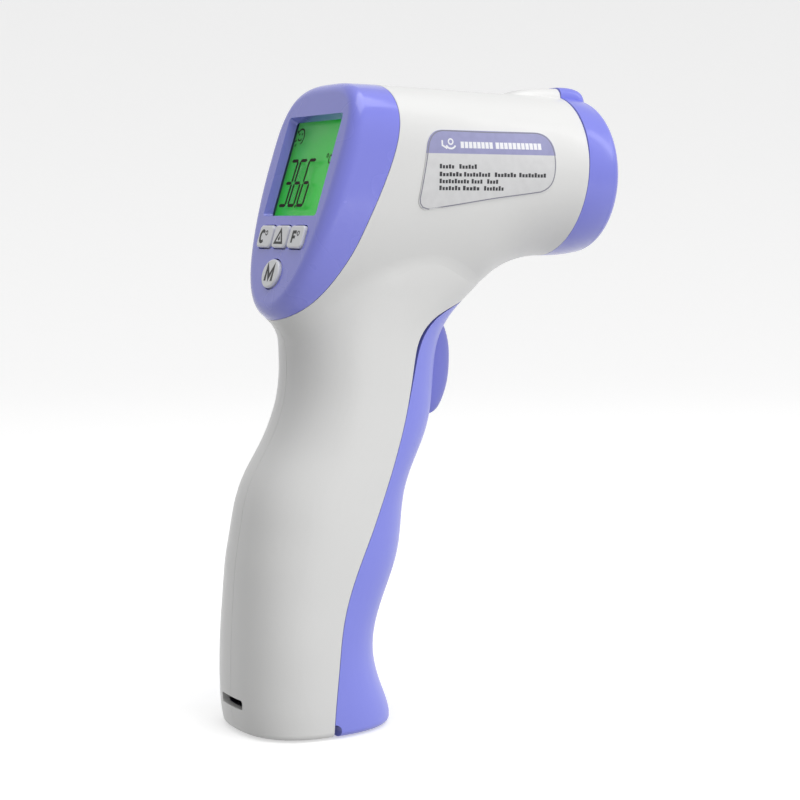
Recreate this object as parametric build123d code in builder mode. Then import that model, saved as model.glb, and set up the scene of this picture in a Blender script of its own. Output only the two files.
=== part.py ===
"""Infrared forehead thermometer: pistol body in two halves, display bezel, hinged battery cover.

X runs from the display (rear) to the nose, Z is up, Y = 0 is the mirror plane. Millimetres.
The origin is the centre of the flat base of the grip.
"""
from math import atan, cos, degrees, pi, radians, sin, sqrt
import os

from build123d import *

os.makedirs("parts", exist_ok=True)

# ---- driving dimensions ----
WALL = 1.8              # shell thickness
FACE_WALL = 2.0         # bezel thickness at the display
FLOOR = 2.0             # thickness under the grip
SEAM = 0.15             # gap between neighbouring shell pieces
SPLIT = 0.04            # half of the gap between the two housing halves
NOSE_X = 68.0           # where the barrel stops and the ring starts, on the axis
NOSE_TILT = 5.6         # degrees that joint leans forward at the top
NOSE_Z = 130.8          # height of the barrel axis
FACE_TILT = 17.4        # degrees the display leans forward from upright
FACE_FILLET = 3.2
BASE_FILLET = 1.4
BLEND = 10.0            # radius between barrel and grip
WINDOW_W, WINDOW_H = 27.6, 24.6
SLOPE = 0.7             # how far the window walls slope in
KEY_W, KEY_H, KEY_R = 7.1, 5.4, 1.1
KEY_PITCH = 8.1
KEY_ROW = -17.5         # height of the key row on the face
MODE_AT = -26.5         # height of the lower key
MODE_W, MODE_H = 8.3, 7.0
KEY_PROUD = 0.8
KEY_TRAVEL = 0.6
KEY_GAP = 0.3
RING_R0, RING_R1 = 19.9, 19.2
RING_END = 78.5
TRIGGER_HALF = 5.85
TRIGGER_PIVOT = (25.5, 99.5)
SLOT_HALF = 6.2
SLOT_LOW, SLOT_HIGH = 70.4, 97.6
HINGE = (-0.8, 1.3)     # battery cover hinge, x and z
CELL_R, CELL_L = 7.25, 50.5
CELL_Y = 7.55
CELL_LEAN = 6.5         # degrees the cells lean forward
CELL_AT = (-1.5, 32.3)
SCREWS = [(58.0, 116.2), (36.0, 145.6), (24.0, 110.0), (6.0, 88.0), (2.0, 67.0)]

FACE = Plane(
    origin=(0.275, 0, 132.5),
    x_dir=(0, -1, 0),
    z_dir=(-cos(radians(FACE_TILT)), 0, sin(radians(FACE_TILT))),
)
NOSE = Plane(
    origin=(NOSE_X, 0, NOSE_Z),
    x_dir=(0, 1, 0),
    z_dir=(cos(radians(NOSE_TILT)), 0, -sin(radians(NOSE_TILT))),
)
CELLS = Plane(
    origin=(CELL_AT[0], 0, CELL_AT[1]),
    x_dir=(cos(radians(CELL_LEAN)), 0, -sin(radians(CELL_LEAN))),
    z_dir=(sin(radians(CELL_LEAN)), 0, cos(radians(CELL_LEAN))),
)

# Head stations: x, bottom, widest height, top, half width, roundness below and above
HEAD = [
    (-16.0, 103.0, 131.8, 151.7, 20.4, 1.95, 3.1),
    (-10.3, 98.6, 131.8, 151.7, 20.4, 1.95, 3.1),
    (-4.5, 93.8, 131.8, 151.7, 20.4, 1.95, 3.1),
    (3.0, 91.6, 131.8, 151.6, 20.4, 1.95, 3.2),
    (12.0, 91.6, 131.6, 151.6, 20.4, 1.95, 3.2),
    (20.0, 92.8, 131.4, 151.5, 20.35, 1.95, 3.0),
    (28.0, 94.6, 131.3, 151.4, 20.3, 1.95, 2.8),
    (35.0, 97.0, 131.2, 151.25, 20.3, 2.0, 2.6),
    (41.0, 100.0, 131.1, 151.1, 20.25, 2.0, 2.4),
    (46.5, 104.4, 131.0, 151.0, 20.2, 2.0, 2.3),
    (52.0, 107.9, 130.9, 150.9, 20.1, 2.0, 2.2),
    (58.0, 110.0, 130.85, 150.8, 20.0, 2.0, 2.1),
    (65.0, 110.9, NOSE_Z, 150.75, RING_R0 + 0.05, 2.0, 2.0),
    (72.0, NOSE_Z - RING_R0, NOSE_Z, NOSE_Z + RING_R0, RING_R0, 2.0, 2.0),
]
# Grip stations: z, back, front, widest x, half width, roundness at the back and the front
GRIP = [
    (0.0, -18.1, 19.9, -1.0, 18.0, 2.5, 2.4),
    (4.0, -18.9, 19.7, -1.2, 18.2, 2.5, 2.4),
    (9.0, -19.2, 17.7, -1.6, 18.3, 2.5, 2.4),
    (15.0, -19.2, 15.7, -2.0, 18.3, 2.5, 2.4),
    (21.0, -19.0, 15.3, -2.0, 18.3, 2.5, 2.4),
    (27.0, -18.7, 16.7, -1.0, 18.2, 2.5, 2.4),
    (33.0, -18.3, 19.2, 0.4, 18.1, 2.5, 2.4),
    (40.0, -17.7, 22.0, 2.0, 18.0, 2.5, 2.4),
    (47.0, -16.6, 23.2, 3.5, 17.8, 2.45, 2.4),
    (54.0, -15.3, 24.0, 5.0, 17.5, 2.4, 2.4),
    (60.0, -13.1, 25.9, 7.0, 17.2, 2.3, 2.4),
    (66.0, -9.6, 29.0, 8.5, 16.8, 2.2, 2.4),
    (72.0, -6.6, 31.5, 9.5, 16.4, 2.15, 2.4),
    (78.0, -4.8, 32.6, 10.2, 16.0, 2.1, 2.4),
    (85.0, -4.1, 33.3, 10.8, 15.8, 2.1, 2.4),
    (91.0, -4.4, 34.5, 11.5, 15.7, 2.1, 2.4),
    (96.0, -4.6, 37.2, 13.0, 15.8, 2.1, 2.4),
    (101.0, -3.6, 42.2, 15.0, 16.1, 2.1, 2.4),
    (107.0, -0.5, 48.0, 18.0, 16.6, 2.1, 2.4),
    (114.0, 5.0, 50.0, 21.0, 17.0, 2.1, 2.4),
]
# Seam between bezel and housings, seen from the side
BEZEL_SEAM = [
    (15.9, 160.0), (15.8, 150.0), (15.6, 143.0), (14.3, 137.0), (12.0, 130.5), (9.4, 124.3),
    (7.1, 119.0), (4.5, 113.0), (1.0, 106.8), (-3.0, 101.2), (-7.2, 97.3), (-12.5, 94.0),
]
# Seam between front cover and housings: x, z, and how much wider the gap opens there
COVER_SEAM = [
    (-0.9, -4.0, 0.0), (-0.7, 6.0, 0.0), (0.3, 16.0, 0.0), (1.5, 26.0, 0.0), (4.4, 36.0, 0.0),
    (8.9, 46.0, 0.0), (13.4, 56.0, 0.0), (17.2, 66.0, 0.0), (20.4, 76.0, 0.05),
    (22.8, 85.0, 0.45), (25.2, 92.0, 0.75), (28.6, 96.0, 0.45), (34.5, 98.9, 0.05),
    (41.0, 100.6, 0.0), (54.0, 101.8, 0.0),
]

# Trigger stations: z, front, half width
TRIGGER = [
    (73.0, 33.4, 5.0),
    (76.0, 36.9, 5.7),
    (79.0, 38.2, TRIGGER_HALF),
    (82.0, 38.95, TRIGGER_HALF),
    (85.0, 39.25, TRIGGER_HALF),
    (88.0, 39.25, TRIGGER_HALF),
    (91.0, 38.8, TRIGGER_HALF),
    (94.0, 37.7, TRIGGER_HALF),
    (97.0, 35.4, TRIGGER_HALF),
]


def signed_power(value, exponent):
    return (1 if value >= 0 else -1) * abs(value) ** exponent


def egg(middle, below, above, half, n_below, n_above, count=28):
    """Points of a closed superellipse: across, along. Each end has its own length and roundness."""
    points = []
    for k in range(count):
        c = cos(2 * pi * k / count)
        s = sin(2 * pi * k / count)
        n = n_above if s >= 0 else n_below
        reach = above if s >= 0 else below
        points.append((half * signed_power(c, 2 / n), middle + reach * signed_power(s, 2 / n)))
    return points


def head_solid(inset, nose_depth):
    """The barrel, cut off at the leaning nose plane, which nose_depth moves back."""
    with BuildPart() as made:
        for x, low, wide, high, half, n_low, n_high in HEAD:
            with BuildSketch(Plane(origin=(x, 0, 0), x_dir=(0, 1, 0), z_dir=(1, 0, 0))):
                with BuildLine():
                    rim = egg(wide, wide - low - inset, high - wide - inset, half - inset,
                              n_low, n_high)
                    Spline(*rim, periodic=True)
                make_face()
        loft()
        with BuildSketch(NOSE.offset(-nose_depth)):
            Rectangle(90, 90)
        extrude(amount=20, mode=Mode.SUBTRACT)
    return made.part


def grip_solid(inset, floor):
    with BuildPart() as made:
        for z, back, front, wide, half, n_back, n_front in GRIP:
            with BuildSketch(Plane.XY.offset(max(z, floor))):
                with BuildLine():
                    rim = egg(wide, wide - back - inset, front - wide - inset, half - inset,
                              n_back, n_front)
                    Spline(*[(p[1], p[0]) for p in rim], periodic=True)
                make_face()
        loft()
    return made.part


def behind_face(depth):
    """Everything behind the display plane, pushed in by depth."""
    with BuildPart() as made:
        with BuildSketch(FACE.offset(-depth)):
            Rectangle(90, 140)
        extrude(amount=40)
    return made.part


def bezel_region(gap):
    with BuildPart() as made:
        with BuildSketch(Plane.XZ):
            with BuildLine():
                seam = Spline(*[(x + gap, z - 0.3 * gap) for x, z in BEZEL_SEAM])
                Polyline(seam @ 1, (-40, 80), (-40, 170), seam @ 0)
            make_face()
        extrude(amount=40, both=True)
    return made.part


def cover_region(gap):
    with BuildPart() as made:
        with BuildSketch(Plane.XZ):
            with BuildLine():
                wide = 1 if gap > 0 else 0
                seam = Spline(*[
                    (x - gap - wide * more, z + (gap if z > 90 else 0) + 0.4 * wide * more)
                    for x, z, more in COVER_SEAM
                ])
                Polyline(seam @ 1, (90, 101.8 + gap), (90, -10), seam @ 0)
            make_face()
        extrude(amount=40, both=True)
    return made.part


def rod(x, z, radius, y0, y1):
    """A cylinder across the body, from y0 to y1."""
    with BuildPart() as made:
        with BuildSketch(Plane(origin=(x, y0, z), x_dir=(1, 0, 0), z_dir=(0, 1, 0))):
            Circle(radius)
        extrude(amount=y1 - y0)
    return made.part


def face_box(x, y, width, height, front, back):
    """A block parallel to the display, between two depths (negative is inside)."""
    with BuildPart() as made:
        with BuildSketch(FACE.offset(back)):
            with Locations((x, y)):
                Rectangle(width, height)
        extrude(amount=front - back)
    return made.part


# ---- the body as one solid, and the cavity inside it ----
with BuildPart() as outer:
    add(head_solid(0, 0))
    add(behind_face(0), mode=Mode.SUBTRACT)
    rim_edges = [e for e in outer.edges() if abs(FACE.to_local_coords(e.center()).Z) < 1e-3]
    fillet(rim_edges, FACE_FILLET)
    add(grip_solid(0, 0))
    foot_edges = [e for e in outer.edges() if abs(e.center().Z) < 1e-3]
    fillet(foot_edges, BASE_FILLET)
    joint_edges = [e for e in outer.edges() if 100 < e.center().Z < 118 and e.length > 140]
    fillet(joint_edges, BLEND)

with BuildPart() as ridge:
    with BuildSketch(Plane.XZ):
        with BuildLine():
            crest = Spline((52.0, 150.0), (59.4, 151.75), (72.0, 152.6), tangents=((1, 0.12), (1, 0.05)))
            Polyline(crest @ 1, (72.0, 146), (52.0, 146), crest @ 0)
        make_face()
    extrude(amount=4.6, both=True)
    long_edges = [e for e in ridge.edges() if e.center().Z > 150.5 and abs(e.center().Y) > 4]
    fillet(long_edges, 3.0)
    with BuildSketch(NOSE):
        Rectangle(90, 90)
    extrude(amount=20, mode=Mode.SUBTRACT)

with BuildPart() as body:
    add(outer.part)
    add(ridge.part)

with BuildPart() as cavity:
    add(head_solid(WALL, 2.1))
    add(behind_face(FACE_WALL), mode=Mode.SUBTRACT)
    add(grip_solid(WALL, FLOOR))
    for x, z in SCREWS:
        add(rod(x, z, 3.4, 0.3, 30), mode=Mode.SUBTRACT)
        add(rod(x, z, 2.8, -30, -0.3), mode=Mode.SUBTRACT)
    for side in (1, -1):
        add(rod(*TRIGGER_PIVOT, 3.0, min(6.4 * side, 30 * side), max(6.4 * side, 30 * side)),
            mode=Mode.SUBTRACT)

with BuildPart() as shell:
    add(body.part)
    add(cavity.part, mode=Mode.SUBTRACT)

# ---- white halves ----
with BuildPart() as housings:
    add(shell.part)
    add(bezel_region(SEAM), mode=Mode.SUBTRACT)
    add(cover_region(SEAM), mode=Mode.SUBTRACT)
    with BuildSketch(Plane(origin=(60, 0, NOSE_Z), x_dir=(0, 1, 0), z_dir=(1, 0, 0))):
        Circle(14.2)
    extrude(amount=20, mode=Mode.SUBTRACT)
    add(rod(*HINGE, 1.75, -11.2, 11.2), mode=Mode.SUBTRACT)
    with BuildSketch(Plane(origin=(-30, 0, 7.1), x_dir=(0, 1, 0), z_dir=(1, 0, 0))):
        RectangleRounded(11, 2.3, 0.6)
    extrude(amount=20, mode=Mode.SUBTRACT)
    add(rod(*TRIGGER_PIVOT, 1.5, -9.5, 9.5), mode=Mode.SUBTRACT)
    for x, z in SCREWS:
        add(rod(x, z, 2.7, 7.5, 30), mode=Mode.SUBTRACT)
        add(rod(x, z, 1.15, -0.5, 8), mode=Mode.SUBTRACT)
        add(rod(x, z, 0.9, -9.5, 1), mode=Mode.SUBTRACT)

for side, name in ((1, "left_housing"), (-1, "right_housing")):
    with BuildPart() as half:
        add(housings.part)
        with BuildSketch(Plane.XZ.offset(-SPLIT if side > 0 else SPLIT)):
            with Locations((30, 75)):
                Rectangle(160, 200)
        extrude(amount=60 * -side, mode=Mode.INTERSECT)
        # hinge lug beside the cover's knuckle
        with BuildSketch(Plane(origin=(0, 11.3 * side, 0), x_dir=(1, 0, 0), z_dir=(0, side, 0))):
            with Locations((HINGE[0], -HINGE[1] if side > 0 else HINGE[1])):
                Circle(1.2)
            with Locations((HINGE[0] - 1.5, -HINGE[1] if side > 0 else HINGE[1])):
                Rectangle(3, 1.2)
        extrude(amount=2.4)
        add(rod(*HINGE, 0.55, 11 if side > 0 else -14, 14 if side > 0 else -11), mode=Mode.SUBTRACT)
    half.part.label = name
    export_step(half.part, f"parts/{name}.step")

# ---- lilac bezel with the window and key wells ----
with BuildPart() as display_bezel:
    add(shell.part)
    add(bezel_region(0), mode=Mode.INTERSECT)
    with BuildSketch(FACE.offset(0.01)):
        RectangleRounded(WINDOW_W, WINDOW_H, 0.9)
    with BuildSketch(FACE.offset(-FACE_WALL - 0.01)):
        RectangleRounded(WINDOW_W - 2 * SLOPE, WINDOW_H - 2 * SLOPE, 0.6)
    loft(mode=Mode.SUBTRACT)
    with BuildSketch(FACE.offset(1)):
        with Locations((-KEY_PITCH, KEY_ROW), (0, KEY_ROW), (KEY_PITCH, KEY_ROW)):
            RectangleRounded(KEY_W + 2 * KEY_GAP, KEY_H + 2 * KEY_GAP, KEY_R + KEY_GAP)
        with Locations((0, MODE_AT)):
            Ellipse(MODE_W / 2 + KEY_GAP, MODE_H / 2 + KEY_GAP)
    extrude(amount=-4, mode=Mode.SUBTRACT)
display_bezel.part.label = "display_bezel"
export_step(display_bezel.part, "parts/display_bezel.step")

# ---- front cover: battery door with the trigger slot and its hinge knuckle ----
with BuildPart() as front_cover:
    add(shell.part)
    add(cover_region(0), mode=Mode.INTERSECT)
    with BuildSketch(Plane(origin=(20, 0, (SLOT_LOW + SLOT_HIGH) / 2), x_dir=(0, 1, 0), z_dir=(1, 0, 0))):
        RectangleRounded(2 * SLOT_HALF, SLOT_HIGH - SLOT_LOW, 3.5)
    extrude(amount=40, mode=Mode.SUBTRACT)
    for side in (1, -1):
        add(rod(*HINGE, 1.7, min(11.1 * side, 25 * side), max(11.1 * side, 25 * side)),
            mode=Mode.SUBTRACT)
    with BuildSketch(Plane(origin=(0, -11, 0), x_dir=(1, 0, 0), z_dir=(0, 1, 0))):
        with Locations((HINGE[0], -HINGE[1])):
            Circle(1.25)
        with Locations((HINGE[0] + 1.4, -HINGE[1])):
            Rectangle(2.8, 1.3)
    extrude(amount=22)
    add(rod(*HINGE, 0.75, -12, 12), mode=Mode.SUBTRACT)
front_cover.part.label = "front_cover"
export_step(front_cover.part, "parts/front_cover.step")

with BuildPart() as cover_hinge_pin:
    add(rod(*HINGE, 0.5, -13.4, 13.4))
cover_hinge_pin.part.label = "cover_hinge_pin"
export_step(cover_hinge_pin.part, "parts/cover_hinge_pin.step")


def key(x, y, oval):
    """One key: a crowned cap, a flange behind the face and a stem down to its switch."""
    with BuildPart() as made:
        with BuildSketch(FACE.offset(-2.4)):
            with Locations((x, y)):
                if oval:
                    Ellipse(MODE_W / 2, MODE_H / 2)
                else:
                    RectangleRounded(KEY_W, KEY_H, KEY_R)
        extrude(amount=2.4 + KEY_PROUD)
        crown = [e for e in made.edges() if FACE.to_local_coords(e.center()).Z > KEY_PROUD - 0.01]
        fillet(crown, 0.45)
        with BuildSketch(FACE.offset(-3.2)):
            with Locations((x, y)):
                if oval:
                    Ellipse(MODE_W / 2 + 0.7, MODE_H / 2 + 0.7)
                else:
                    Rectangle(KEY_W + 0.7, KEY_H + 1.6)
        extrude(amount=0.8)
        with BuildSketch(FACE.offset(-4.7)):
            with Locations((x, y)):
                Circle(1.1)
        extrude(amount=2)
    return made.part


KEYS = [
    ("button_celsius", -KEY_PITCH, KEY_ROW, False),
    ("button_alarm", 0, KEY_ROW, False),
    ("button_fahrenheit", KEY_PITCH, KEY_ROW, False),
    ("button_mode", 0, MODE_AT, True),
]
for name, x, y, oval in KEYS:
    with BuildPart() as button:
        add(key(x, y, oval))
    button.part.label = name
    export_step(button.part, f"parts/{name}.step")

# ---- display stack and main board, parallel to the face ----
with BuildPart() as display_lens:
    add(face_box(0, 0, 29.4, 26.4, -2.06, -3.05))
display_lens.part.label = "display_lens"
export_step(display_lens.part, "parts/display_lens.step")

with BuildPart() as lcd_glass:
    add(face_box(0, 0, 28.6, 25.6, -3.1, -5.2))
lcd_glass.part.label = "lcd_glass"
export_step(lcd_glass.part, "parts/lcd_glass.step")

with BuildPart() as lcd_backlight:
    add(face_box(0, 0, 28.6, 25.6, -5.3, -8.3))
lcd_backlight.part.label = "lcd_backlight"
export_step(lcd_backlight.part, "parts/lcd_backlight.step")

with BuildPart() as main_board:
    with BuildSketch(FACE.offset(-10.0)):
        with BuildLine():
            Polyline((-15, 14), (15, 14), (15, -18), (7, -30), (-7, -30), (-15, -18), (-15, 14))
        make_face()
    extrude(amount=1.6)
main_board.part.label = "main_board"
export_step(main_board.part, "parts/main_board.step")

with BuildPart() as controller_chip:
    add(face_box(0, 2, 10, 10, -10.1, -11.5))
    add(face_box(-6, -12, 7, 5, -10.1, -11.3))
controller_chip.part.label = "controller_chip"
export_step(controller_chip.part, "parts/controller_chip.step")

with BuildPart() as key_switches:
    for name, x, y, oval in KEYS:
        add(face_box(x, y, 4.5, 4.5, -5.5, -8.35))
key_switches.part.label = "key_switches"
export_step(key_switches.part, "parts/key_switches.step")

with BuildPart() as buzzer:
    with BuildSketch(FACE.offset(-15.2)):
        with Locations((8.2, -8)):
            Circle(6)
    extrude(amount=5.1)
    with BuildSketch(FACE.offset(-15.2)):
        with Locations((8.2, -8)):
            Circle(1.2)
    extrude(amount=1.5, mode=Mode.SUBTRACT)
buzzer.part.label = "buzzer"
export_step(buzzer.part, "parts/buzzer.step")

# ---- nose: ring, shroud and sensor, all turned about the barrel axis ----
AXIS = Axis((0, 0, NOSE_Z), (1, 0, 0))


def turned(points):
    """Solid of revolution about the barrel axis from (x, radius) corners."""
    with BuildPart() as made:
        with BuildSketch(Plane.XZ):
            with BuildLine():
                Polyline(*[(x, NOSE_Z + r) for x, r in points], close=True)
            make_face()
        revolve(axis=AXIS)
    return made.part


with BuildPart() as ring_sight:
    with BuildSketch(Plane.XZ):
        with BuildLine():
            crest = Spline(
                (66.0, 152.45), (73.0, 152.75), (77.0, 151.6), (78.3, 148.6),
                tangents=((1, 0.05), (0.15, -1)),
            )
            Polyline(crest @ 1, (77.6, 147.6), (66.0, 147.6), crest @ 0)
        make_face()
    extrude(amount=4.6, both=True)
    sight_edges = [e for e in ring_sight.edges() if e.length > 10 and e.center().Z > 150]
    fillet([e for e in sight_edges if abs(e.center().Y) > 4.5], 2.4)

with BuildPart() as nose_ring:
    with BuildSketch(Plane.XZ):
        with BuildLine():
            rear = Line((64.0, NOSE_Z + RING_R0), (68.0, NOSE_Z + RING_R0))
            slope = Spline(rear @ 1, (RING_END - 2.6, NOSE_Z + RING_R1), tangents=((1, 0), (1, -0.2)))
            front = RadiusArc(slope @ 1, (RING_END, NOSE_Z + RING_R1 - 2.6), 2.7)
            Polyline(
                front @ 1, (RING_END, NOSE_Z + 16.4), (RING_END - 0.8, NOSE_Z + 15.6),
                (72.0, NOSE_Z + 15.6), (72.0, NOSE_Z + 12.2), (64.0, NOSE_Z + 12.2), rear @ 0,
            )
        make_face()
    revolve(axis=AXIS)
    add(ring_sight.part)
    with BuildSketch(NOSE.offset(SEAM)):
        Rectangle(90, 90)
    extrude(amount=-20, mode=Mode.SUBTRACT)
    add(turned([(62.8, 12.2), (62.8, 14.0), (71.0, 14.0), (71.0, 12.2)]))
nose_ring.part.label = "nose_ring"
export_step(nose_ring.part, "parts/nose_ring.step")

with BuildPart() as sensor_shroud:
    add(turned([(72.1, 15.5), (76.8, 15.5), (76.8, 14.8), (73.2, 6.8), (73.2, 5.5), (72.1, 5.5)]))
sensor_shroud.part.label = "sensor_shroud"
export_step(sensor_shroud.part, "parts/sensor_shroud.step")

with BuildPart() as sensor_holder:
    add(turned([(64.0, 5.5), (64.0, 12.0), (67.5, 12.0), (67.5, 5.5)]))
sensor_holder.part.label = "sensor_holder"
export_step(sensor_holder.part, "parts/sensor_holder.step")

with BuildPart() as sensor_tube:
    add(turned([(52.1, 4.8), (52.1, 5.35), (74.2, 5.35), (74.2, 4.7), (57.0, 2.7), (57.0, 4.8)]))
sensor_tube.part.label = "sensor_tube"
export_step(sensor_tube.part, "parts/sensor_tube.step")

with BuildPart() as thermopile_can:
    add(turned([(52.2, 0), (52.2, 4.65), (52.8, 4.65), (52.8, 4.1), (56.2, 4.1), (56.2, 2.4), (55.6, 2.4),
                (55.6, 0)]))
thermopile_can.part.label = "thermopile_can"
export_step(thermopile_can.part, "parts/thermopile_can.step")

with BuildPart() as sensor_window:
    add(turned([(55.7, 0), (55.7, 2.3), (56.3, 2.3), (56.3, 0)]))
sensor_window.part.label = "sensor_window"
export_step(sensor_window.part, "parts/sensor_window.step")

with BuildPart() as sensor_board:
    with BuildSketch(Plane(origin=(50.3, 0, NOSE_Z), x_dir=(0, 1, 0), z_dir=(1, 0, 0))):
        RectangleRounded(24, 20, 2)
    extrude(amount=1.6)
sensor_board.part.label = "sensor_board"
export_step(sensor_board.part, "parts/sensor_board.step")

# ---- trigger and what it works ----
PX, PZ = TRIGGER_PIVOT
with BuildPart() as trigger:
    for z, front, half in TRIGGER:
        with BuildSketch(Plane.XY.offset(z)):
            with BuildLine():
                rim = egg(31.0, 1.9, front - 31.0, half, 5.0, 2.5)
                Spline(*[(p[1], p[0]) for p in rim], periodic=True)
            make_face()
    loft()
    add(rod(PX, PZ, 3.4, -2.5, 2.5))
    with BuildSketch(Plane.XZ):
        with BuildLine():
            Polyline((PX - 2.0, PZ - 2.0), (29.6, 90.0), (31.0, 90.0), (31.0, 96.0), (PX + 2.0, PZ + 2.0),
                     close=True)
        make_face()
    extrude(amount=2.5, both=True)
    with BuildSketch(Plane.XZ):
        with BuildLine():
            Polyline((30.0, 81.5), (20.4, 83.6), (20.4, 86.4), (30.0, 88.5), close=True)
        make_face()
    extrude(amount=1.6, both=True)
    add(rod(PX, PZ, 1.75, -3, 3), mode=Mode.SUBTRACT)
trigger.part.label = "trigger"
export_step(trigger.part, "parts/trigger.step")

with BuildPart() as trigger_pin:
    add(rod(PX, PZ, 1.4, -9.3, 9.3))
trigger_pin.part.label = "trigger_pin"
export_step(trigger_pin.part, "parts/trigger_pin.step")



def coil(pitch, height, radius, wire, at):
    """A helical wire whose axis is the z of the plane it is placed on."""
    with BuildPart() as made:
        with BuildLine() as turn:
            Helix(pitch=pitch, height=height, radius=radius)
        with BuildSketch(Plane(origin=turn.line @ 0, z_dir=turn.line % 0)):
            Circle(wire)
        sweep(path=turn.line)
    return at.location * made.part


with BuildPart() as trigger_spring:
    add(coil(0.75, 3.0, 2.15, 0.28, Plane(origin=(PX, 2.95, PZ), x_dir=(1, 0, 0), z_dir=(0, 1, 0))))
trigger_spring.part.label = "trigger_spring"
export_step(trigger_spring.part, "parts/trigger_spring.step")

with BuildPart() as trigger_board:
    with BuildSketch(Plane.XY.offset(76.0)):
        with Locations((11.0, 0)):
            Rectangle(1.6, 12)
    extrude(amount=16)
trigger_board.part.label = "trigger_board"
export_step(trigger_board.part, "parts/trigger_board.step")

with BuildPart() as trigger_switch:
    with BuildSketch(Plane.XY.offset(82.0)):
        with Locations((14.4, 0)):
            Rectangle(5.0, 6.0)
    extrude(amount=6)
    with BuildSketch(Plane(origin=(16.9, 0, 85), x_dir=(0, 1, 0), z_dir=(1, 0, 0))):
        Circle(1.2)
    extrude(amount=1.6)
trigger_switch.part.label = "trigger_switch"
export_step(trigger_switch.part, "parts/trigger_switch.step")

# ---- batteries in their tray, in the leaning frame of the cells ----
TRAY_HALF = 29.2


def cell_block(x0, x1, half_y, z0, z1):
    with BuildPart() as made:
        with BuildSketch(CELLS.offset(z0)):
            with Locations(((x0 + x1) / 2, 0)):
                Rectangle(x1 - x0, 2 * half_y)
        extrude(amount=z1 - z0)
    return made.part


with BuildPart() as battery_tray:
    add(cell_block(-8.9, -7.6, 6.5, -TRAY_HALF, TRAY_HALF))
    add(cell_block(-7.7, 4.5, 12.3, -TRAY_HALF, 1.2 - TRAY_HALF))
    add(cell_block(-7.7, -4.4, 6.5, TRAY_HALF - 1.2, TRAY_HALF))
    add(cell_block(-4.5, 4.5, 10.8, TRAY_HALF - 1.2, TRAY_HALF))
battery_tray.part.label = "battery_tray"
export_step(battery_tray.part, "parts/battery_tray.step")

with BuildPart() as aa_batteries:
    for side in (1, -1):
        near = -27.3 if side < 0 else -22.9
        body_low = near + (1.0 if side < 0 else 0)
        with BuildSketch(CELLS.offset(body_low)):
            with Locations((0, CELL_Y * side)):
                Circle(CELL_R)
        extrude(amount=CELL_L - 1.0)
        with BuildSketch(CELLS.offset(near if side < 0 else near + CELL_L - 1.0)):
            with Locations((0, CELL_Y * side)):
                Circle(2.7)
        extrude(amount=1.0)
aa_batteries.part.label = "aa_batteries"
export_step(aa_batteries.part, "parts/aa_batteries.step")

with BuildPart() as battery_springs:
    for side in (1, -1):
        start = -27.2 if side > 0 else 23.5
        at = CELLS.offset(start).from_local_coords(Vector(0, CELL_Y * side, 0))
        add(coil(1.15, 3.9, 3.2, 0.3, Plane(origin=at, x_dir=CELLS.x_dir, z_dir=CELLS.z_dir)))
battery_springs.part.label = "battery_springs"
export_step(battery_springs.part, "parts/battery_springs.step")

with BuildPart() as battery_plates:
    add(cell_block(-5.0, 4.0, 11.6, -27.95, -27.6))
    add(cell_block(-4.3, 4.0, 10.6, 27.7, 27.95))
battery_plates.part.label = "battery_plates"
export_step(battery_plates.part, "parts/battery_plates.step")

# ---- fasteners, label, wiring ----
with BuildPart() as case_screws:
    for x, z in SCREWS:
        add(rod(x, z, 2.3, 7.6, 9.3))
        add(rod(x, z, 0.8, -8.5, 7.7))
        with BuildSketch(Plane(origin=(x, 8.5, z), x_dir=(1, 0, 0), z_dir=(0, 1, 0))):
            Rectangle(2.6, 0.55)
            Rectangle(0.55, 2.6)
        extrude(amount=1, mode=Mode.SUBTRACT)
case_screws.part.label = "case_screws"
export_step(case_screws.part, "parts/case_screws.step")

with BuildPart() as rating_label:
    add(head_solid(-0.25, 0))
    with BuildSketch(Plane.XZ.offset(14)) as sticker:
        with BuildLine():
            top = Line((26.8, 140.6), (53.0, 140.6))
            right = Spline((53.0, 140.6), (58.3, 134.5), (57.6, 129.0), (54.6, 126.4),
                           tangents=((1, 0), (-1, -0.45)))
            under = Line((54.6, 126.4), (23.9, 122.3))
            corner = Spline((23.9, 122.3), (21.3, 122.4), (20.2, 124.6),
                            tangents=((-1, -0.13), (0.15, 1)))
            left = Line((20.2, 124.6), (22.3, 136.6))
            Spline((22.3, 136.6), (23.7, 139.5), (26.8, 140.6), tangents=((0.17, 1), (1, 0)))
        make_face()
    extrude(amount=10, mode=Mode.INTERSECT)
    add(outer.part, mode=Mode.SUBTRACT)
rating_label.part.label = "rating_label"
export_step(rating_label.part, "parts/rating_label.step")

with BuildPart() as wires:
    for y in (3.0, -3.0):
        with BuildLine() as lead:
            FilletPolyline((-3.2, y, 62.7), (-3.2, y, 70.5), (0.0, y, 81.0), (0.2, y, 93.0), (3.4, y, 104.0),
                           radius=8)
        with BuildSketch(Plane(origin=lead.line @ 0, z_dir=lead.line % 0)):
            Circle(0.5)
        sweep(path=lead.line)
wires.part.label = "wires"
export_step(wires.part, "parts/wires.step")
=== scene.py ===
"""Infrared forehead thermometer: finishes, printed artwork, floor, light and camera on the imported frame.

X runs from the display to the nose, Z is up and Y = 0 is the mirror plane. Artwork is measured in
millimetres, and the floor, lights and textures in metres.
"""
import math

import bmesh
import bpy
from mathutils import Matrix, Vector
from mathutils.bvhtree import BVHTree


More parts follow.
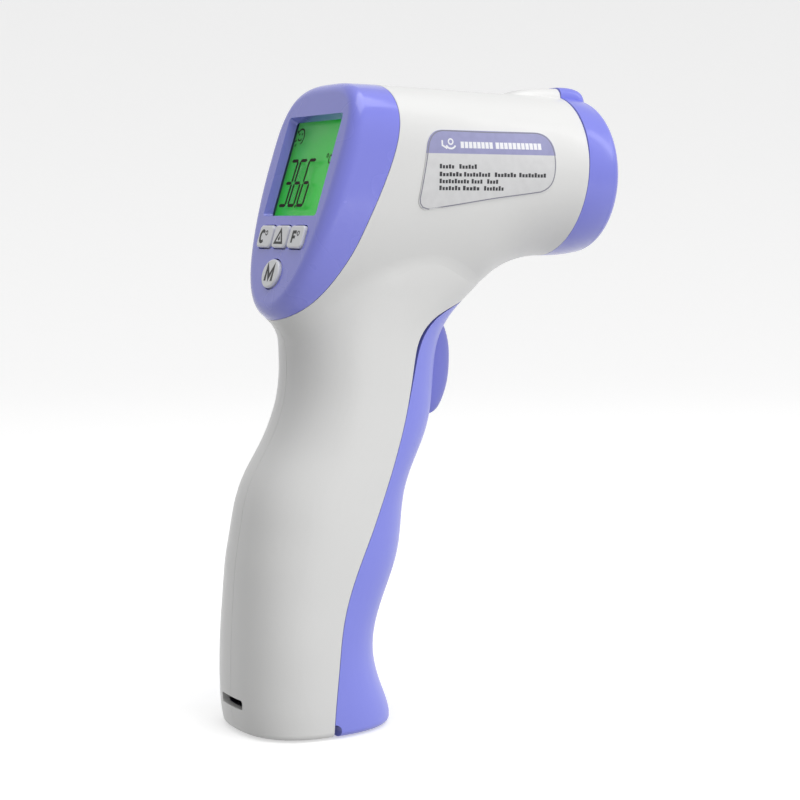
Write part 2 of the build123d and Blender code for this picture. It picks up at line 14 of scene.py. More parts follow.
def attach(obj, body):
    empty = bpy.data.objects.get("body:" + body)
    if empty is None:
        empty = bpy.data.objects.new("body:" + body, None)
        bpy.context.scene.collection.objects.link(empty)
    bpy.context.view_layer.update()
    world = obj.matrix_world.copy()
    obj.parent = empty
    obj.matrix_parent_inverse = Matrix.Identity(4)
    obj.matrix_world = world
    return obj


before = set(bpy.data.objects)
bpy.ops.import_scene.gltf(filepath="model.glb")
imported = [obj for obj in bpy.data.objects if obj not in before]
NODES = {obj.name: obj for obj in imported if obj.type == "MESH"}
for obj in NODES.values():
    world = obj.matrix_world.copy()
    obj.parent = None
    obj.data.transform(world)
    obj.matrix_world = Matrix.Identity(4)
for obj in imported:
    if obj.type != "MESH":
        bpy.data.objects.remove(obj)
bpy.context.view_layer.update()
MM = 0.001


# ---------------------------------------------------------------- colour and node helpers
MIX_A, MIX_B, MIX_RESULT = 6, 7, 2  # sockets of a Mix node that carry colour


def lin(r, g, b):
    """sRGB 0-255 to linear RGBA."""
    out = []
    for c in (r, g, b):
        c /= 255
        out.append(c / 12.92 if c <= 0.04045 else ((c + 0.055) / 1.055) ** 2.4)
    return (*out, 1.0)


def grey(value):
    """A linear grey as RGBA."""
    return (value, value, value, 1)


def shade(colour, k):
    """The colour with its light multiplied by k, capped at full."""
    return (*[min(1, c * k) for c in colour[:3]], 1.0)


class Mat:
    """A node material over one Principled shader, with its textures in object space (metres)."""

    def __init__(self, name):
        self.material = bpy.data.materials.new(name)
        self.material.use_nodes = True
        self.tree = self.material.node_tree
        self.shader = self.tree.nodes["Principled BSDF"]
        self.where = self.node("ShaderNodeTexCoord").outputs["Object"]

    def node(self, kind, **sockets):
        """A new node with constants on the sockets named, where _ stands for a space."""
        n = self.tree.nodes.new(kind)
        for socket, value in sockets.items():
            n.inputs[socket.replace("_", " ")].default_value = value
        return n

    def link(self, source, target):
        self.tree.links.new(source, target)

    def noise(self, scale, detail):
        n = self.node("ShaderNodeTexNoise", Scale=scale, Detail=detail, Roughness=0.5)
        self.link(self.where, n.inputs["Vector"])
        return n.outputs["Fac"]

    def axis(self, name):
        """One coordinate in object space."""
        n = self.node("ShaderNodeSeparateXYZ")
        self.link(self.where, n.inputs["Vector"])
        return n.outputs[name]

    def ramp(self, fac, stops):
        n = self.node("ShaderNodeValToRGB")
        marks = n.color_ramp.elements
        while len(marks) < len(stops):
            marks.new(0.5)
        for i, (at, colour) in enumerate(stops):
            marks[i].position = at
            marks[i].color = colour
        self.link(fac, n.inputs["Fac"])
        return n.outputs["Color"]

    def speckle(self, scale, detail, dark, bright, start=0.3, end=0.7):
        """Noise shown as two colours with a soft change between them."""
        return self.ramp(self.noise(scale, detail), [(start, dark), (end, bright)])

    def spread(self, fac, low, high, start=0.3, end=0.7):
        """fac between start and end becomes a value between low and high."""
        n = self.node("ShaderNodeMapRange", From_Min=start, From_Max=end, To_Min=low, To_Max=high)
        self.link(fac, n.inputs["Value"])
        return n.outputs["Result"]

    def mix(self, fac, a, b, blend="MIX"):
        """Colours a and b blended. fac is a constant or an output."""
        n = self.node("ShaderNodeMix")
        n.data_type = "RGBA"
        n.blend_type = blend
        if isinstance(fac, float):
            n.inputs["Factor"].default_value = fac
        else:
            self.link(fac, n.inputs["Factor"])
        self.link(a, n.inputs[MIX_A])
        self.link(b, n.inputs[MIX_B])
        return n.outputs[MIX_RESULT]

    def bump(self, fac, strength, distance):
        n = self.node("ShaderNodeBump", Strength=strength, Distance=distance)
        self.link(fac, n.inputs["Height"])
        self.link(n.outputs["Normal"], self.shader.inputs["Normal"])

    def drive(self, **outputs):
        """Outputs linked to the shader's inputs of those names."""
        for socket, output in outputs.items():
            self.link(output, self.shader.inputs[socket.replace("_", " ")])

    def put(self, **values):
        """Constants on the shader's inputs of those names."""
        for socket, value in values.items():
            self.shader.inputs[socket.replace("_", " ")].default_value = value


# ---------------------------------------------------------------- materials
GLOSS_VARY = 0.03       # how far a plastic's roughness strays either way


def plastic(name, colour, rough, coat=0.0, coat_rough=0.1, grain=1500, depth=0.000012,
            tone=0.96, bump=0.25, specular=0.5):
    """Moulded plastic: faint flow mottling in the colour, uneven gloss, fine mould texture."""
    m = Mat(name)
    m.drive(Base_Color=m.speckle(30, 1, shade(colour, tone), colour, 0.0, 1.0),
            Roughness=m.spread(m.noise(90, 1), rough - GLOSS_VARY, rough + GLOSS_VARY, 0.0, 1.0))
    m.bump(m.noise(grain, 3), bump, depth)
    m.put(Coat_Weight=coat, Coat_Roughness=coat_rough, IOR=1.5, Specular_IOR_Level=specular)
    return m


def metal(name, colour, rough, scale=900):
    """Plated or drawn metal: uneven gloss and a faint tarnish."""
    m = Mat(name)
    m.drive(Base_Color=m.speckle(220, 4, shade(colour, 0.72), colour, 0.25, 0.7),
            Roughness=m.spread(m.noise(scale, 3), rough - 0.07, rough + 0.1))
    m.bump(m.noise(scale * 2, 2), 0.2, 0.00001)
    m.put(Metallic=1.0)
    return m


def silicon_filter():
    """Infrared filter: dark coated silicon."""
    m = Mat("filter_silicon")
    m.drive(Base_Color=m.speckle(900, 2, lin(26, 20, 34), lin(44, 34, 52)),
            Roughness=m.spread(m.noise(600, 2), 0.06, 0.12))
    m.put(Metallic=0.55, Coat_Weight=0.8, Coat_Roughness=0.04)
    return m


def circuit_board():
    """Green solder mask with paler lines, its gloss following a glass weave."""
    m = Mat("pcb_mask")
    weave = m.node("ShaderNodeTexWave", Scale=900, Distortion=1.5)
    m.link(m.where, weave.inputs["Vector"])
    turn = m.node("ShaderNodeMapping", Rotation=(math.radians(90), 0, math.radians(90)))
    m.link(m.where, turn.inputs["Vector"])
    tracks = m.node("ShaderNodeTexBrick", Scale=260.0, Mortar_Size=0.06, Brick_Width=0.9, Row_Height=0.25,
                    Color1=lin(14, 84, 46), Color2=lin(18, 96, 52), Mortar=lin(40, 130, 76))
    m.link(turn.outputs["Vector"], tracks.inputs["Vector"])
    m.drive(Base_Color=tracks.outputs["Color"],
            Roughness=m.spread(weave.outputs["Fac"], 0.26, 0.4, 0, 1))
    m.bump(tracks.outputs["Fac"], 0.4, 0.00003)
    m.put(Coat_Weight=0.5, Coat_Roughness=0.15)
    return m


PANEL_HALF = 13.5 * MM                          # the panel's fade runs this far to either side
PANEL_LOW, PANEL_TOP = 119.5 * MM, 144.5 * MM   # and between these heights


def lcd_panel():
    """Lit liquid-crystal panel: greyer at the top left, saturated green at the right and bottom."""
    m = Mat("lcd_green")
    corner = m.node("ShaderNodeMath")
    corner.operation = "ADD"
    m.link(m.spread(m.axis("Y"), 0.0, 0.42, PANEL_HALF, -PANEL_HALF), corner.inputs[0])
    m.link(m.spread(m.axis("Z"), 0.0, 0.58, PANEL_TOP, PANEL_LOW), corner.inputs[1])
    fade = m.ramp(corner.outputs[0], [(0.0, lin(66, 140, 76)), (0.35, lin(38, 164, 56)),
                                      (0.7, lin(16, 180, 42)), (1.0, lin(10, 178, 36))])
    glow = m.mix(0.35, fade, m.speckle(1600, 2, grey(0.8), grey(1)), "MULTIPLY")
    m.drive(Base_Color=glow, Emission_Color=glow, Roughness=m.spread(m.noise(400, 2), 0.3, 0.42))
    m.put(Emission_Strength=0.5)
    return m


def clear_window():
    """Clear window over the panel."""
    m = Mat("lens_clear_pmma")
    m.drive(Base_Color=m.speckle(120, 2, (0.8, 0.86, 0.82, 1), (0.9, 0.94, 0.92, 1)),
            Roughness=m.spread(m.noise(300, 2), 0.04, 0.1))
    m.put(Alpha=0.05, IOR=1.49)
    return m


SLEEVE_LOW, SLEEVE_TOP = 8.0 * MM, 58.0 * MM    # heights that the cells' colours are spread between


def cell_sleeve():
    """Battery wrap: a blue sleeve with a pale end band, by height."""
    m = Mat("cell_sleeve")
    m.drive(Base_Color=m.ramp(m.spread(m.axis("Z"), 0, 1, SLEEVE_LOW, SLEEVE_TOP),
                              [(0.0, lin(28, 62, 120)), (0.70, lin(34, 74, 138)),
                               (0.72, lin(206, 208, 212)), (1.0, lin(214, 216, 220))]),
            Roughness=m.spread(m.noise(260, 3), 0.22, 0.34))
    m.bump(m.noise(700, 2), 0.2, 0.00002)
    m.put(Coat_Weight=0.4, Coat_Roughness=0.12)
    return m


HEADER_LINE = 135.15 * MM       # height where the label's header begins


def label_film():
    """Rating label: matt film with a purple-grey header above HEADER_LINE."""
    m = Mat("label_film")
    above = m.node("ShaderNodeMath")
    above.operation = "GREATER_THAN"
    above.inputs[1].default_value = HEADER_LINE
    m.link(m.axis("Z"), above.inputs[0])
    pale = m.speckle(500, 3, lin(216, 216, 217), lin(222, 222, 223))
    purple = m.speckle(500, 3, lin(152, 153, 192), lin(160, 160, 200))
    m.drive(Base_Color=m.mix(above.outputs[0], pale, purple),
            Roughness=m.spread(m.noise(220, 3), 0.4, 0.5))
    m.bump(m.noise(2200, 2), 0.2, 0.00001)
    return m


white = plastic("housing_white_abs", lin(230, 230, 229), 0.36, coat=0.25, coat_rough=0.18, tone=0.975)
bezel = plastic("bezel_lilac_abs", lin(130, 134, 234), 0.27, coat=0.6, coat_rough=0.09, tone=0.95, bump=0.1)
ring = plastic("ring_lilac_abs", lin(128, 133, 232), 0.3, coat=0.45, coat_rough=0.12, tone=0.95)
# the cover's lilac is the bezel's made lighter, painted light; the trigger's is made darker, painted shade
cover = plastic("cover_lilac_painted_light", lin(140, 146, 242), 0.38, coat=0.2, coat_rough=0.2, tone=0.95)
shaded_pull = plastic("trigger_lilac_painted_shade", lin(122, 126, 214), 0.42, coat=0.12, coat_rough=0.25, tone=0.94)
key = plastic("key_white_abs", lin(236, 237, 240), 0.33, coat=0.3, coat_rough=0.15, tone=0.96)
tray = plastic("tray_black_abs", lin(34, 35, 38), 0.5, tone=0.8)
shroud = plastic("shroud_black_abs", lin(24, 24, 27), 0.46, tone=0.8, grain=2600, depth=0.00003)
holder = plastic("holder_black_nylon", lin(38, 38, 42), 0.58, tone=0.8)
chip = plastic("chip_epoxy", lin(22, 22, 24), 0.62, tone=0.75, grain=5000, depth=0.00002)
sounder = plastic("buzzer_plastic", lin(26, 26, 28), 0.4, tone=0.8)
switch = plastic("switch_plastic", lin(46, 46, 50), 0.45, tone=0.8)
light_guide = plastic("backlight_acrylic", lin(212, 232, 214), 0.3, coat=0.3, tone=0.95)
insulation = plastic("wire_pvc", lin(186, 32, 30), 0.42, tone=0.85)

brass = metal("tube_brass", lin(196, 160, 92), 0.22)
can = metal("can_steel", lin(188, 186, 180), 0.28)
spring = metal("spring_steel", lin(190, 190, 192), 0.24, 2400)
plate = metal("plate_nickel", lin(198, 196, 188), 0.26)
screw = metal("screw_zinc", lin(176, 178, 184), 0.3, 1800)
pin = metal("pin_steel", lin(168, 168, 172), 0.25)

board = circuit_board()

ink_black = plastic("ink_black", lin(20, 20, 22), 0.45, tone=0.8)
ink_lcd = plastic("ink_segment", lin(34, 18, 12), 0.6, tone=0.8, specular=0.15)
ink_white = plastic("ink_white", lin(246, 246, 250), 0.45, tone=0.97)
ink_rule = plastic("ink_rule", lin(136, 136, 148), 0.5, tone=0.95)
ink_grey = plastic("ink_dark_grey", lin(52, 52, 56), 0.5, tone=0.85)

FINISH = {
    "left_housing": white, "right_housing": white, "display_bezel": bezel, "display_lens": clear_window(),
    "lcd_glass": lcd_panel(), "lcd_backlight": light_guide, "main_board": board, "controller_chip": chip,
    "key_switches": switch, "button_celsius": key, "button_alarm": key, "button_fahrenheit": key,
    "button_mode": key, "nose_ring": ring, "sensor_shroud": shroud, "sensor_holder": holder,
    "sensor_tube": brass, "thermopile_can": can, "sensor_window": silicon_filter(), "sensor_board": board,
    "buzzer": sounder, "front_cover": cover, "cover_hinge_pin": pin, "trigger": shaded_pull, "trigger_pin": pin,
    "trigger_spring": spring, "trigger_switch": switch, "trigger_board": board, "battery_tray": tray,
    "aa_batteries": cell_sleeve(), "battery_springs": spring, "battery_plates": plate, "case_screws": screw,
    "rating_label": label_film(), "wires": insulation,
}
for node_name, finish in FINISH.items():
    node_mesh = NODES[node_name].data
    node_mesh.materials.clear()
    node_mesh.materials.append(finish.material)


# ---------------------------------------------------------------- thin printed artwork
class Print:
    """Closed thin plates that follow a surface. place(u, v, h) gives a point in millimetres."""

    def __init__(self, place, low, high):
        self.place, self.low, self.high = place, low, high
        self.verts, self.faces = [], []

    def _ring(self, points, h):
        start = len(self.verts)
        self.verts += [Vector(self.place(u, v, h)) * MM for u, v in points]
        return list(range(start, start + len(points)))

    def patch(self, points):
        """A filled outline."""
        a, b = self._ring(points, self.low), self._ring(points, self.high)
        n = len(points)
        self.faces += [a[::-1], b]
        self.faces += [[a[i], a[(i + 1) % n], b[(i + 1) % n], b[i]] for i in range(n)]

    def stroke(self, points, width, closed=False):
        """A mitred line of constant width."""
        n = len(points)
        left, right = [], []
        for i, (u, v) in enumerate(points):
            before = points[i - 1] if i or closed else None
            after = points[(i + 1) % n] if i < n - 1 or closed else None
            d1 = Vector((u - before[0], v - before[1])).normalized() if before else None
            d2 = Vector((after[0] - u, after[1] - v)).normalized() if after else None
            d1, d2 = d1 or d2, d2 or d1
            n1, n2 = Vector((-d1.y, d1.x)), Vector((-d2.y, d2.x))
            mitre = (n1 + n2).normalized()
            k = width / 2 / max(0.5, mitre.dot(n1))
            left.append((u + mitre.x * k, v + mitre.y * k))
            right.append((u - mitre.x * k, v - mitre.y * k))
        rings = [self._ring(left, self.low), self._ring(left, self.high),
                 self._ring(right, self.high), self._ring(right, self.low)]
        for i in range(n if closed else n - 1):
            j = (i + 1) % n
            for a, b in zip(rings, rings[1:] + rings[:1]):
                self.faces.append([a[i], a[j], b[j], b[i]])
        if not closed:
            self.faces.append([r[0] for r in rings])
            self.faces.append([r[-1] for r in rings][::-1])

    def make(self, name, body, finish, slot):
        """Turns what was drawn into a piece that rides on a body."""
        mesh = bpy.data.meshes.new(name)
        mesh.from_pydata(self.verts, [], self.faces)
        bm = bmesh.new()
        bm.from_mesh(mesh)
        bmesh.ops.recalc_face_normals(bm, faces=bm.faces)
        bm.to_mesh(mesh)
        bm.free()
        piece = bpy.data.objects.new(name, mesh)
        bpy.context.scene.collection.objects.link(piece)
        mesh.materials.append(finish.material)
        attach(piece, body)


def arc(cu, cv, ru, rv, start, end, steps):
    """Points on an ellipse about (cu, cv), with the angles in degrees."""
    turns = [math.radians(start + (end - start) * i / steps) for i in range(steps + 1)]
    return [(cu + ru * math.cos(t), cv + rv * math.sin(t)) for t in turns]


def loop(cu, cv, r, steps):
    return arc(cu, cv, r, r, 0, 360, steps)[:-1]


# ---------------------------------------------------------------- display artwork
# face frame: u to the viewer's right, v up the face, h outward from the bezel's surface
TILT = math.radians(17.4)
OUT = Vector((-math.cos(TILT), 0, math.sin(TILT)))
UP = Vector((math.sin(TILT), 0, math.cos(TILT)))
RIGHT = Vector((0, -1, 0))
CENTRE = Vector((0.275, 0, 132.5))


def on_face(u, v, h):
    return CENTRE + RIGHT * u + UP * v + OUT * h


SEG_W, SEG_H = 3.1, 11.1            # one figure, between the middles of its segments
SLANT = 0.06                        # how far the figures lean right, per unit of height
SEG_GAP = 0.12                      # space at each end of an upright segment
BAR_OVER = 0.15                     # how far the top and bottom bars run past the figure
BAR_IN = 0.1                        # how far the middle bar falls short of it
BAR_WIDE, POST_WIDE = 0.8, 0.78     # widths of level and upright segments
BAR_POINT, POST_POINT = 0.55, 0.4   # lengths of their pointed ends
FIGURE_PITCH = 4.6
READING_AT = (-10.9, -9.1)          # lower left corner of the reading
SEGMENTS = {"3": "abcdg", "6": "acdefg"}
WINDOW_LOW, WINDOW_HIGH = -2.055, -2.02     # the print's two faces, just off the window's front


def figure(target, u0, v0, lit):
    """One seven-segment figure with its lower left corner at (u0, v0)."""
    w, h, g = SEG_W, SEG_H, SEG_GAP
    bars = {"a": ((-BAR_OVER, h), (w + BAR_OVER, h)), "d": ((-BAR_OVER, 0), (w + BAR_OVER, 0)),
            "g": ((BAR_IN, h / 2), (w - BAR_IN, h / 2))}
    posts = {"f": ((0, h / 2 + g), (0, h - g)), "b": ((w, h / 2 + g), (w, h - g)),
             "e": ((0, g), (0, h / 2 - g)), "c": ((w, g), (w, h / 2 - g))}
    for name in lit:
        if name in bars:
            (px, py), (qx, qy) = bars[name]
            end, half = BAR_POINT, BAR_WIDE / 2
            outline = [(px, py), (px + end, py - half), (qx - end, qy - half), (qx, qy),
                       (qx - end, qy + half), (px + end, py + half)]
        else:
            (px, py), (qx, qy) = posts[name]
            end, half = POST_POINT, POST_WIDE / 2
            outline = [(px, py), (px + half, py + end), (qx + half, qy - end), (qx, qy),
                       (qx - half, qy - end), (px - half, py + end)]
        target.patch([(u0 + x + SLANT * y, v0 + y) for x, y in outline])


digits = Print(on_face, WINDOW_LOW, WINDOW_HIGH)
for place, number in enumerate("366"):
    figure(digits, READING_AT[0] + FIGURE_PITCH * place, READING_AT[1], SEGMENTS[number])
digits.patch(loop(-2.25, -9.35, 0.36, 12))      # decimal point
digits.make("lcd_reading", "case", ink_lcd, "lcd")

# body-mode face icon, and the degree mark with its C
FINE = 0.34     # width of the symbols' thin lines
icon = Print(on_face, WINDOW_LOW, WINDOW_HIGH)
icon.stroke(arc(-9.6, 8.0, 2.0, 2.0, -60, 150, 16), 0.42)
icon.patch(loop(-10.4, 8.7, 0.3, 10))
icon.patch(loop(-8.9, 8.7, 0.3, 10))
icon.stroke(arc(-9.6, 7.9, 0.95, 0.8, -160, -20, 10), FINE)
icon.stroke([(-11.7, 9.6), (-11.1, 9.0)], FINE)
icon.stroke([(-11.9, 7.0), (-11.2, 7.2)], FINE)
icon.stroke([(-11.3, 5.7), (-10.8, 6.3)], FINE)
icon.stroke(loop(7.6, 2.9, 0.42, 14), 0.28, closed=True)
icon.stroke(arc(9.3, 2.0, 0.7, 0.95, 55, 305, 14), FINE)
icon.make("lcd_symbols", "case", ink_lcd, "lcd")

# ---------------------------------------------------------------- key legends
KEY_TOP = 0.8                   # how far the keys stand out of the bezel
INK_SINK, INK_RISE = 0.04, 0.03     # how far a legend reaches into its key and above it
DEGREE_R, DEGREE_LINE = 0.5, 0.28   # the small ring beside C and F
DEGREE_V = -16.75


def legend():
    return Print(on_face, KEY_TOP - INK_SINK, KEY_TOP + INK_RISE)


c_mark = legend()
c_mark.stroke(arc(-9.3, -17.6, 1.05, 1.35, 45, 315, 20), 0.78)
c_mark.stroke(loop(-7.35, DEGREE_V, DEGREE_R, 16), DEGREE_LINE, closed=True)
c_mark.make("legend_celsius", "key_celsius", ink_black, "key_white")

triangle = legend()
triangle.stroke([(0.0, -15.95), (-1.9, -19.1), (1.9, -19.1)], 0.6, closed=True)
triangle.patch(loop(0.0, -18.15, 0.42, 14))
triangle.patch([(-0.3, -18.0), (0.3, -18.0), (0.0, -17.3)])
triangle.make("legend_alarm", "key_alarm", ink_black, "key_white")

f_mark = legend()
f_mark.stroke([(8.35, -16.45), (6.75, -16.45), (6.75, -19.0)], 0.76)
f_mark.stroke([(6.75, -17.65), (8.1, -17.65)], 0.7)
f_mark.stroke(loop(9.35, DEGREE_V, DEGREE_R, 16), DEGREE_LINE, closed=True)
f_mark.make("legend_fahrenheit", "key_fahrenheit", ink_black, "key_white")

m_mark = legend()
m_mark.stroke([(-1.65, -28.35), (-1.65, -24.75), (0.0, -27.6), (1.65, -24.75), (1.65, -28.35)], 1.0)
m_mark.make("legend_mode", "key_mode", ink_black, "key_white")


# ---------------------------------------------------------------- rating label print
def surface(name):
    """A CAD node's surface, to cast rays at."""
    return BVHTree.FromObject(NODES[name], bpy.context.evaluated_depsgraph_get())


BESIDE = 60                     # where side rays start, in millimetres from the mirror plane
ALONG_Y = Vector((0, 1, 0))
LABEL_MIDDLE = (39.5, 132.0)    # x and z
LABEL_REACH = 30.0              # further from the middle than any point of its edge
LABEL_Y = -19.8                 # used where a ray passes beside the label
EDGE_HALVINGS = 22
RULE_INSET = 0.3                # the printed rule's distance from the edge
LABEL_SINK = -0.02              # how far the print reaches into the film
WORD = (1.0, 0.72, 0.72, 0.9, 0.72)     # heights of the blocks that stand for letters
BLOCK_GAP = 0.24
label = surface("rating_label")


def on_label(x, z, h):
    hit = label.ray_cast(Vector((x, -BESIDE, z)) * MM, ALONG_Y)[0]
    return Vector((x, (hit.y / MM if hit else LABEL_Y) - h, z))


def blocks(target, x0, x1, z, height, pitch, pattern=WORD):
    """A word shown as a row of plain blocks on one baseline."""
    count = max(1, round((x1 - x0) / pitch))
    step = (x1 - x0) / count
    base = z - height / 2
    for i in range(count):
        a, b = x0 + i * step, x0 + (i + 1) * step - BLOCK_GAP
        top = base + height * pattern[i % len(pattern)]
        target.patch([(a, base), (b, base), (b, top), (a, top)])


def label_edge(angle):
    """The point RULE_INSET inside the film's edge, in this direction from its middle, found by halving."""
    x, z = LABEL_MIDDLE
    d = Vector((math.cos(angle), 0, math.sin(angle)))
    near, far = 0.0, LABEL_REACH
    for _ in range(EDGE_HALVINGS):
        mid = (near + far) / 2
        start = Vector((x, -BESIDE, z)) + d * mid
        if label.ray_cast(start * MM, ALONG_Y, BESIDE * MM)[0]:
            near = mid
        else:
            far = mid
    return (x + d.x * (near - RULE_INSET), z + d.z * (near - RULE_INSET))


rule = Print(on_label, LABEL_SINK, 0.02)
rule.stroke([label_edge(math.radians(degrees)) for degrees in range(0, 360, 3)], 0.26, closed=True)
rule.make("label_border", "case", ink_rule, "label_print")

rows = Print(on_label, LABEL_SINK, 0.03)
for z, words in (
    (132.2, ((25.5, 29.6), (30.8, 35.8))),
    (130.4, ((25.5, 31.7), (32.1, 39.5), (40.6, 46.8), (47.5, 55.4))),
    (128.8, ((25.5, 33.7), (34.2, 37.4), (38.5, 41.8))),
    (127.2, ((25.5, 31.4), (31.9, 36.6), (37.7, 43.4))),
):
    for x0, x1 in words:
        blocks(rows, x0, x1, z, 1.05, 0.86)
rows.make("label_rows", "case", ink_grey, "label_print")

# header: two words in even blocks, and a plain mark before them
head = Print(on_label, LABEL_SINK, 0.03)
blocks(head, 31.3, 40.5, 137.2, 1.5, 1.15, (1.0,))
blocks(head, 41.1, 54.5, 137.2, 1.5, 1.22, (1.0,))
head.stroke([(26.3, 138.2), (26.3, 137.0), (27.6, 136.3)], 0.42)
head.stroke(arc(28.6, 137.4, 1.3, 1.1, 200, 340, 12), 0.42)
head.stroke(loop(28.6, 137.9, 0.62, 14), 0.34, closed=True)
head.make("label_header_print", "case", ink_white, "label_print")

# ---------------------------------------------------------------- inner light-tight tongue and painted-shade ribs
# a tongue inside the rear seam of the two halves, and a dark rib behind each side of the cover's seam that
# is painted shade seen through that seam
shell = surface("left_housing")     # the right one mirrors it
BEHIND = 80                         # where rays from the rear start, in millimetres behind the origin
BEHIND_REACH = 0.12                 # lengths of the rays from the rear and from the side, in metres
BESIDE_REACH = 0.052
OFF_SPLIT = 0.6                     # clear of the gap between the two halves
TONGUE_HALF = 1.1
TONGUE_IN = 2.45                    # from the shell's rear surface to the tongue's middle
RIB_Y, RIB_THICK, RIB_WIDE = 8.1, 0.6, 3.0
RIB_FRONT = 30                      # further forward the rib's end would come out through the cover
SEAM_FROM, SEAM_TO, SEAM_STEP = 6.0, 44, 0.15
SEAM_JUMP = 4                       # a gap this long means that the white half has ended


def rear(z):
    """The shell's rear surface at this height, just off the mirror plane."""
    hit = shell.ray_cast(Vector((-BEHIND, OFF_SPLIT, z)) * MM, Vector((1, 0, 0)), BEHIND_REACH)[0]
    return hit.x / MM if hit else None


def seam(z):
    """Front edge of the white half at this height, seen from the side."""
    x = SEAM_FROM
    last = None
    while x < SEAM_TO:
        if shell.ray_cast(Vector((x, BESIDE, z)) * MM, -ALONG_Y, BESIDE_REACH)[0]:
            last = x
        elif last is not None and x - last > SEAM_JUMP:
            break
        x += SEAM_STEP
    return last


tongue = Print(lambda x, z, h: Vector((x, h, z)), -TONGUE_HALF, TONGUE_HALF)
back = [(rear(z), z) for z in range(12, 112, 2)]
tongue.stroke([(x + TONGUE_IN, z) for x, z in back if x is not None], 0.5)
tongue.make("seam_tongue", "case", white, "housing_white")

edge = [(seam(z), z) for z in (0.75 * step for step in range(96, 134))]
edge = [(x, z) for x, z in edge if x is not None and x < RIB_FRONT]
# each rib is a black sheet in the holder's finish, put in only to paint the shade in the gap beside the
# cover
for side, hand in ((1, "left"), (-1, "right")):
    shade_rib = Print(lambda x, z, h: Vector((x, side * (RIB_Y + h), z)), 0.0, RIB_THICK)
    shade_rib.stroke(edge, RIB_WIDE)
    shade_rib.make("painted_shade_rib_" + hand, "case", holder, "holder_black")

# ---------------------------------------------------------------- floor
# seamless sweep: a flat floor whose rim curves up all round, so no horizon shows from any side
FLOOR_X = 0.03          # the floor is centred under the object
FLOOR_Z = -0.0004       # a hair under the grip
FLAT_R = 0.9            # radius of the flat part, and of the curve beyond it
WALL_R, WALL_TOP = 1.8, 1.5
AROUND = 72

profile = [(r, 0.0) for r in (0.15, 0.35, 0.6, FLAT_R)]
for degrees in range(6, 91, 6):
    t = math.radians(degrees)
    profile.append((FLAT_R + FLAT_R * math.sin(t), FLAT_R - FLAT_R * math.cos(t)))
profile.append((WALL_R, WALL_TOP))

turns = [2 * math.pi * k / AROUND for k in range(AROUND)]
bm = bmesh.new()
hub = bm.verts.new((FLOOR_X, 0, FLOOR_Z))
rims = [[bm.verts.new((FLOOR_X + r * math.cos(t), r * math.sin(t), z + FLOOR_Z)) for t in turns]
        for r, z in profile]
for k in range(AROUND):
    bm.faces.new([hub, rims[0][k], rims[0][(k + 1) % AROUND]])
for inner, outer in zip(rims, rims[1:]):
    for k in range(AROUND):
        bm.faces.new([inner[k], outer[k], outer[(k + 1) % AROUND], inner[(k + 1) % AROUND]])
for f in bm.faces:
    f.smooth = True
floor_mesh = bpy.data.meshes.new("floor")
bm.to_mesh(floor_mesh)
bm.free()
floor = bpy.data.objects.new("floor", floor_mesh)
bpy.context.scene.collection.objects.link(floor)
floor.visible_diffuse = False   # its bounce is part of the world light below
paint = plastic("floor_paint", lin(232, 232, 232), 0.8, tone=0.99)
paint.put(Emission_Color=grey(1), Emission_Strength=0.42)
floor_mesh.materials.append(paint.material)

# ---------------------------------------------------------------- world light
BELOW, LEVEL, OVERHEAD = 0.28, 0.36, 0.62       # brightness straight down, level and straight up

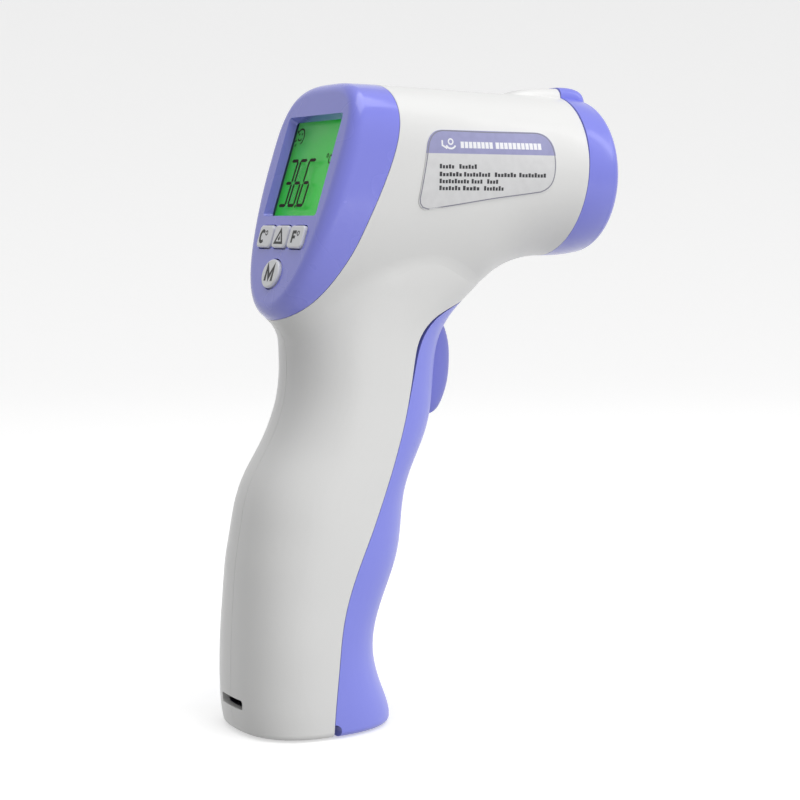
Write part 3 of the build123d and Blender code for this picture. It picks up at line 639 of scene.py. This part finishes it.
world = bpy.data.worlds.new("studio")
bpy.context.scene.world = world
world.use_nodes = True
sky = world.node_tree.nodes["Background"]
sky.inputs["Strength"].default_value = 1.0
heading = world.node_tree.nodes.new("ShaderNodeTexCoord")
split = world.node_tree.nodes.new("ShaderNodeSeparateXYZ")
rise = world.node_tree.nodes.new("ShaderNodeMapRange")
rise.inputs["From Min"].default_value = -1.0
rise.inputs["From Max"].default_value = 1.0
dome = world.node_tree.nodes.new("ShaderNodeValToRGB")
stops = dome.color_ramp.elements
stops[0].position = 0.0
stops[0].color = grey(BELOW)
stops[1].position = 1.0
stops[1].color = grey(OVERHEAD)
middle = stops.new(0.5)
middle.color = grey(LEVEL)
join = world.node_tree.links.new
join(heading.outputs["Generated"], split.inputs["Vector"])
join(split.outputs["Z"], rise.inputs["Value"])
join(rise.outputs["Result"], dome.inputs["Fac"])
join(dome.outputs["Color"], sky.inputs["Color"])

# ---------------------------------------------------------------- lamps and camera
AIM = Vector((26.56, 0, 76.12)) * MM
EYE = Vector((-200.45, -401.2, 119.69)) * MM
FORWARD = (AIM - EYE).normalized()
SIDE = FORWARD.cross(Vector((0, 0, 1))).normalized()

# name; metres from AIM to the right, away from the camera and up; width and height; watts; if it is mirrored
LAMPS = (
    ("key_light", (0.62, -0.55, 0.42), (0.7, 0.7), 1.9, False),
    ("low_light", (0.5, -0.55, -0.02), (0.6, 0.16), 1.4, False),
    ("top_light", (0.12, -0.1, 0.85), (0.8, 0.7), 3.3, True),
    ("edge_light", (0.75, 0.05, 0.5), (0.12, 0.5), 0.5, True),
    ("fill_light", (-0.7, -0.5, 0.25), (0.5, 0.8), 0.05, True),
)
for lamp_name, (right, away, up), (width, height), watts, mirrored in LAMPS:
    lamp = bpy.data.lights.new(lamp_name, "AREA")
    lamp.shape = "RECTANGLE"
    lamp.size = width
    lamp.size_y = height
    lamp.energy = watts
    stand = bpy.data.objects.new(lamp_name, lamp)
    bpy.context.scene.collection.objects.link(stand)
    stand.location = AIM + SIDE * right + FORWARD * away + Vector((0, 0, up))
    stand.rotation_euler = (AIM - stand.location).to_track_quat("-Z", "Y").to_euler()
    stand.visible_glossy = mirrored

camera = bpy.data.cameras.new("camera")
camera.lens = 85.5
camera.sensor_width = 36
camera.clip_start = 0.01
camera.clip_end = 50
shot = bpy.data.objects.new("camera", camera)
bpy.context.scene.collection.objects.link(shot)
shot.location = EYE
shot.rotation_mode = "QUATERNION"
shot.rotation_quaternion = FORWARD.to_track_quat("-Z", "Y")
bpy.context.scene.camera = shot
bpy.context.scene.view_settings.view_transform = "Standard"
